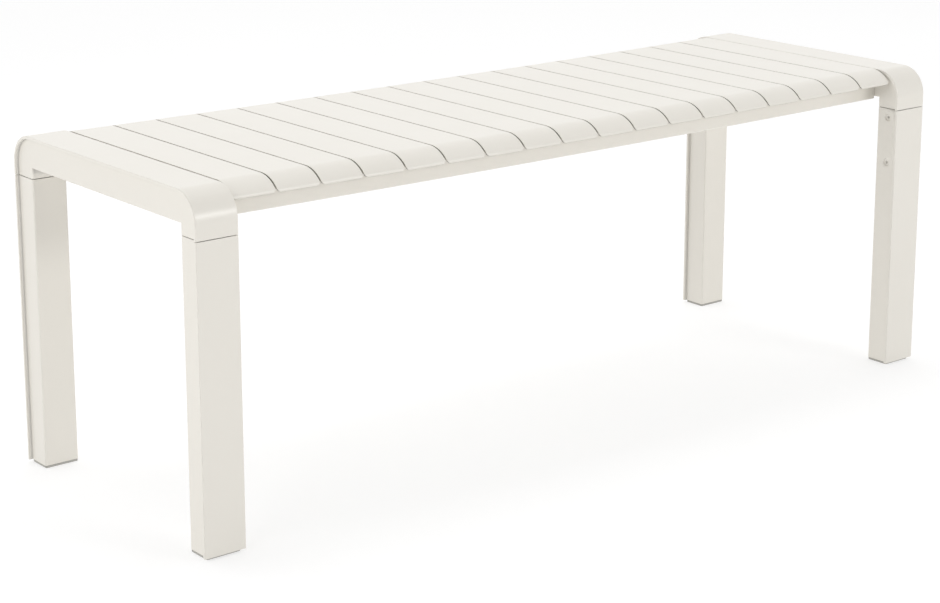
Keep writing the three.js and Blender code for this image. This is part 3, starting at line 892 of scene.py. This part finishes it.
def drawn_alloy(name, finish):
    """Mill-finish aluminium with fine drawing lines."""
    sheet = Sheet(name)
    lines = sheet.noise(60.0, detail=5.0, rough=0.6, stretch=(1, 1, 0.05))
    return bare_metal(sheet, lines, finish.alloy, shade=0.8, smoothest=0.32, roughest=0.5)


def finish_of(name):
    """The named material, made once."""
    known = bpy.data.materials.get(name)
    if known:
        return known
    finish = bpy.context.scene.bench_finish
    if name in COATS:
        return powder_coat(name, finish, **COATS[name])
    make = {
        "moulded_nylon": moulded_nylon, "turned_steel": turned_steel, "drawn_alloy": drawn_alloy,
    }[name]
    return make(name, finish)


# ---------------------------------------------------------------------------------------------
# Operators


class BENCH_OT_stage(bpy.types.Operator):
    """Set up the white surround, the pale floor, the soft lights and the camera"""

    bl_idname = "bench.stage"
    bl_label = "Studio"

    def execute(self, context):
        studio = context.scene.bench_studio
        world = bpy.data.worlds.new("Studio surround")
        context.scene.world = world
        context.scene.view_settings.view_transform = "Standard"
        self.surround(world, studio)

        bm = bmesh.new()
        bmesh.ops.create_circle(bm, cap_ends=True, radius=studio.floor_radius, segments=96)
        mesh = bpy.data.meshes.new("floor")
        bm.to_mesh(mesh)
        bm.free()
        floor = bpy.data.objects.new("floor", mesh)
        context.scene.collection.objects.link(floor)
        mesh.materials.append(self.floor_paint(studio))

        self.panel(
            "Key light", studio.key, size=(2.6, 1.6), place=(-3.8, -1.1, 1.9), target=(0, 0, 0.3),
        )
        self.panel(
            "Top light", studio.top, size=(2.4, 1.2), place=(0, 0.6, 3.4), target=(0, 0, 0.4),
        )
        self.panel(
            "Strip light", studio.strip, size=(1.5, 0.55), place=(1.8, -4.0, 1.6),
            target=(-0.6, -0.2, 0.43), in_gloss=True,
        )
        self.camera(context, studio)
        return {"FINISHED"}

    def surround(self, world, studio):
        """A white dome with a dim part high up in front, which gives the bends their shade."""
        world.use_nodes = True
        nodes, links = world.node_tree.nodes, world.node_tree.links
        direction = nodes.new("ShaderNodeTexCoord").outputs["Generated"]
        toward = nodes.new("ShaderNodeVectorMath")
        toward.operation = "DOT_PRODUCT"
        toward.inputs[1].default_value = Vector(studio.dim_way).normalized()
        dome = nodes.new("ShaderNodeMapRange")
        dome.interpolation_type = "SMOOTHSTEP"
        for socket, value in (
            ("From Min", studio.dim_edge), ("From Max", studio.dim_core),
            ("To Min", studio.surround), ("To Max", studio.dim),
        ):
            dome.inputs[socket].default_value = value
        background = nodes["Background"]
        background.inputs["Color"].default_value = WHITE
        links.new(direction, toward.inputs[0])
        links.new(toward.outputs["Value"], dome.inputs["Value"])
        links.new(dome.outputs["Result"], background.inputs["Strength"])

    def floor_paint(self, studio):
        """Matt pale paint, faintly cloudy, with a glow of its own."""
        sheet = Sheet("floor_paint")
        tone = sheet.spread(sheet.noise(0.8), low=0.445, high=0.455)
        return sheet.surface(
            Base_Color=sheet.grey(tone), Roughness=0.9, Specular_IOR_Level=0.1,
            Emission_Color=WHITE, Emission_Strength=studio.floor_glow,
        )

    def panel(self, name, power, size, place, target, in_gloss=False):
        """A rectangular light turned to its target."""
        light = bpy.data.lights.new(name, "AREA")
        light.shape = "RECTANGLE"
        light.size, light.size_y = size
        light.energy = power
        lamp = bpy.data.objects.new(name, light)
        lamp.location = place
        lamp.rotation_euler = (Vector(target) - Vector(place)).to_track_quat("-Z", "Y").to_euler()
        lamp.visible_glossy = in_gloss
        bpy.context.scene.collection.objects.link(lamp)

    def camera(self, context, studio):
        data = bpy.data.cameras.new("Camera")
        data.sensor_width = 36.0
        data.lens = studio.lens
        data.shift_y = studio.rise
        camera = bpy.data.objects.new("Camera", data)
        a, e = studio.azimuth, studio.elevation
        back = Vector((math.sin(a) * math.cos(e), -math.cos(a) * math.cos(e), math.sin(e)))
        camera.location = Vector(studio.aim) + back * studio.distance
        camera.rotation_euler = back.to_track_quat("Z", "Y").to_euler()
        context.scene.collection.objects.link(camera)
        context.scene.camera = camera


class BENCH_OT_arches(bpy.types.Operator):
    """Build the arched tops of the two end frames"""

    bl_idname = "bench.arches"
    bl_label = "End arches"

    def execute(self, context):
        coat = finish_of("satin_arch")
        for end in ENDS:
            node = f"{end}_end_arch"
            bm = arch_mesh(node, context.scene.bench_frame)
            finished(f"arch_{end}", bm, coat, [node])
        return {"FINISHED"}


class BENCH_OT_legs(bpy.types.Operator):
    """Build the four legs"""

    bl_idname = "bench.legs"
    bl_label = "Legs"

    def execute(self, context):
        scene = context.scene
        coat = finish_of("satin_frame")
        for side, y_sign in SIDES.items():
            for end, x_sign in ENDS.items():
                node = f"{side}_{end}_leg"
                screws = [f"{node}_screw_{number}" for number in (1, 2)]
                bm = leg_mesh(node, y_sign, -x_sign, screws, scene.bench_frame, scene.bench_parts)
                finished(f"leg_{side}_{end}", bm, coat, [node])
        return {"FINISHED"}


class BENCH_OT_glides(bpy.types.Operator):
    """Build the four foot glides"""

    bl_idname = "bench.glides"
    bl_label = "Foot glides"

    def execute(self, context):
        scene = context.scene
        material = finish_of("moulded_nylon")
        for side in SIDES:
            for end in ENDS:
                node = f"{side}_{end}_foot_glide"
                bm = glide_mesh(node, scene.bench_frame, scene.bench_parts)
                finished(f"glide_{side}_{end}", bm, material, [node])
        return {"FINISHED"}


class BENCH_OT_leg_screws(bpy.types.Operator):
    """Build the eight countersunk screws in the legs' inner faces"""

    bl_idname = "bench.leg_screws"
    bl_label = "Leg screws"

    def execute(self, context):
        parts = context.scene.bench_parts
        coat = finish_of("satin_frame")
        for side in SIDES:
            for end, x_sign in ENDS.items():
                for number in (1, 2):
                    node = f"{side}_{end}_leg_screw_{number}"
                    lo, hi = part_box(node)
                    profile = self.profile((hi.y - lo.y) / 2, hi.x - lo.x, parts)
                    bm = screw_mesh(profile, parts.screw_key, parts.screw_cone, parts.round_steps)
                    turn = Matrix.Rotation(-x_sign * RIGHT_ANGLE, 4, "Y")
                    face_x = hi.x if x_sign < 0 else lo.x
                    place = Matrix.Translation((face_x, (lo.y + hi.y) / 2, (lo.z + hi.z) / 2))
                    bmesh.ops.transform(bm, matrix=place @ turn, verts=bm.verts)
                    finished(f"leg_screw_{side}_{end}_{number}", bm, coat, [node])
        return {"FINISHED"}

    def profile(self, radius, span, parts):
        """Half the outline of a countersunk screw, from its tip to the top of its head."""
        thread, top, rim = parts.screw_thread, -parts.screw_sink, parts.screw_rim
        return (
            (thread - parts.tip, -span),
            (thread, -span + parts.tip),
            (thread, top - parts.screw_cone),
            (radius, top - 2 * rim),
            (radius, top - rim),
            (radius - rim, top),
        )


class BENCH_OT_rails(bpy.types.Operator):
    """Build the two rails under the slats"""

    bl_idname = "bench.rails"
    bl_label = "Rails"

    def execute(self, context):
        scene = context.scene
        coat, wall = finish_of("satin_frame"), scene.bench_parts.wall
        for side in SIDES:
            node = f"{side}_rail"
            bm = rail_mesh(node, scene.bench_slats, scene.bench_parts)
            finished(f"rail_{side}", bm, coat, [node], sheet=wall)
        return {"FINISHED"}


class BENCH_OT_rail_bolts(bpy.types.Operator):
    """Build the four bolts in the rails' inner faces"""

    bl_idname = "bench.rail_bolts"
    bl_label = "Rail bolts"

    def execute(self, context):
        parts = context.scene.bench_parts
        material = finish_of("turned_steel")
        for side, y_sign in SIDES.items():
            for end in ENDS:
                node = f"{side}_rail_bolt_{end}"
                lo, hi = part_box(node)
                profile = self.profile((hi.x - lo.x) / 2, hi.y - lo.y, parts)
                bm = screw_mesh(profile, parts.bolt_key, parts.bolt_key_depth, parts.round_steps)
                turn = Matrix.Rotation(y_sign * RIGHT_ANGLE, 4, "X")
                face_y = hi.y if y_sign < 0 else lo.y
                place = Matrix.Translation(((lo.x + hi.x) / 2, face_y, (lo.z + hi.z) / 2))
                bmesh.ops.transform(bm, matrix=place @ turn, verts=bm.verts)
                finished(f"rail_bolt_{side}_{end}", bm, material, [node])
        return {"FINISHED"}

    def profile(self, radius, span, parts):
        """Half the outline of a button-headed bolt, from its tip to the top of its head."""
        head, thread, rim = parts.bolt_head, parts.bolt_thread, parts.bolt_rim
        dome, flat = 0.7, 0.35  # shares of the head's height and radius
        points = [
            (thread - parts.tip, -span),
            (thread, -span + parts.tip),
            (thread, -head),
            (radius - rim, -head),
            (radius, -head + rim),
            (radius, -dome * head),
        ]
        steps, quarter = 5, 7  # steps up the dome, and how many would reach its pole
        full = math.sin(RIGHT_ANGLE * steps / quarter)
        for step in range(1, steps + 1):
            lean = RIGHT_ANGLE * step / quarter
            reach = flat + (1 - flat) * math.cos(lean)
            points.append((radius * reach, dome * head * (math.sin(lean) / full - 1)))
        return points


class BENCH_OT_slats(bpy.types.Operator):
    """Build the eighteen seat slats"""

    bl_idname = "bench.slats"
    bl_label = "Slats"

    def execute(self, context):
        coat = finish_of("satin_slat")
        for index, node in enumerate(SLATS):
            bm = slat_mesh(index, context.scene.bench_slats)
            finished(f"{node}_tray", bm, coat, [node])
        return {"FINISHED"}


class BENCH_OT_slat_screws(bpy.types.Operator):
    """Build the screws that hold each slat to both rails"""

    bl_idname = "bench.slat_screws"
    bl_label = "Slat screws"

    def execute(self, context):
        scene = context.scene
        slats, parts = scene.bench_slats, scene.bench_parts
        one = self.screw(parts)
        pattern = bpy.data.meshes.new("slat_screw")
        one.to_mesh(pattern)
        one.free()
        bm = bmesh.new()
        head_top = under_slats(slats, parts) - parts.wall - parts.slat_head
        turn = Matrix.Rotation(math.pi, 4, "X")
        for side in SIDES:
            lo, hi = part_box(f"{side}_rail")
            for index in range(len(SLATS)):
                x = slat_x(index, slats)
                first = len(bm.verts)
                bm.from_mesh(pattern)
                bm.verts.ensure_lookup_table()
                place = Matrix.Translation((x, (lo.y + hi.y) / 2, head_top + dish_at(x, slats)))
                bmesh.ops.transform(bm, matrix=place @ turn, verts=bm.verts[first:])
        bpy.data.meshes.remove(pattern)
        finished("slat_screws", bm, finish_of("turned_steel"))
        return {"FINISHED"}

    def screw(self, parts):
        """A pan-headed screw with a hexagon socket."""
        head, radius, thread = parts.slat_head, parts.slat_head_radius, parts.slat_thread
        end, tip = -head - parts.slat_screw, parts.slat_tip
        pan = ((1.0, 1.0), (1.0, 0.45), (0.86, 0.12), (0.6, 0.0))  # shares of radius and height
        profile = [(thread - tip, end), (thread, end + 2 * tip), (thread, -head)]
        profile += [(out * radius, -down * head) for out, down in pan]
        key_depth = 0.6 * head
        return screw_mesh(profile, parts.slat_key, key_depth, parts.slat_screw_steps)


class BENCH_OT_spigots(bpy.types.Operator):
    """Give the hidden spigots their bare aluminium"""

    bl_idname = "bench.spigots"
    bl_label = "Spigots"

    def execute(self, context):
        material = finish_of("drawn_alloy")
        for name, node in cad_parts.items():
            if "spigot" in name:
                node.data.materials.clear()
                node.data.materials.append(material)
        return {"FINISHED"}


class BENCH_PT_builder(bpy.types.Panel):
    """Buttons and sizes of the bench"""

    bl_idname = "BENCH_PT_builder"
    bl_label = "Garden bench"
    bl_space_type = "VIEW_3D"
    bl_region_type = "UI"
    bl_category = "Bench"

    def draw(self, context):
        layout = self.layout
        for operator in OPERATORS:
            layout.operator(operator.bl_idname)
        for group in GROUPS:
            settings = getattr(context.scene, group)
            box = layout.box()
            box.label(text=type(settings).__doc__)
            for key in type(settings).__annotations__:
                box.prop(settings, key)


OPERATORS = (
    BENCH_OT_stage,
    BENCH_OT_arches,
    BENCH_OT_legs,
    BENCH_OT_glides,
    BENCH_OT_leg_screws,
    BENCH_OT_rails,
    BENCH_OT_rail_bolts,
    BENCH_OT_slats,
    BENCH_OT_slat_screws,
    BENCH_OT_spigots,
)
GROUPS = {
    "bench_frame": BenchFrameSizes,
    "bench_slats": BenchSlatSizes,
    "bench_parts": BenchPartSizes,
    "bench_finish": BenchFinish,
    "bench_studio": BenchStudio,
}


def register():
    for group, kind in GROUPS.items():
        bpy.utils.register_class(kind)
        setattr(bpy.types.Scene, group, PointerProperty(type=kind))
    for kind in (*OPERATORS, BENCH_PT_builder):
        bpy.utils.register_class(kind)


def unregister():
    for kind in (BENCH_PT_builder, *reversed(OPERATORS)):
        bpy.utils.unregister_class(kind)
    for group, kind in reversed(GROUPS.items()):
        delattr(bpy.types.Scene, group)
        bpy.utils.unregister_class(kind)


def main():
    register()
    for operator in OPERATORS:
        family, action = operator.bl_idname.split(".")
        getattr(getattr(bpy.ops, family), action)()


if __name__ == "__main__":
    main()
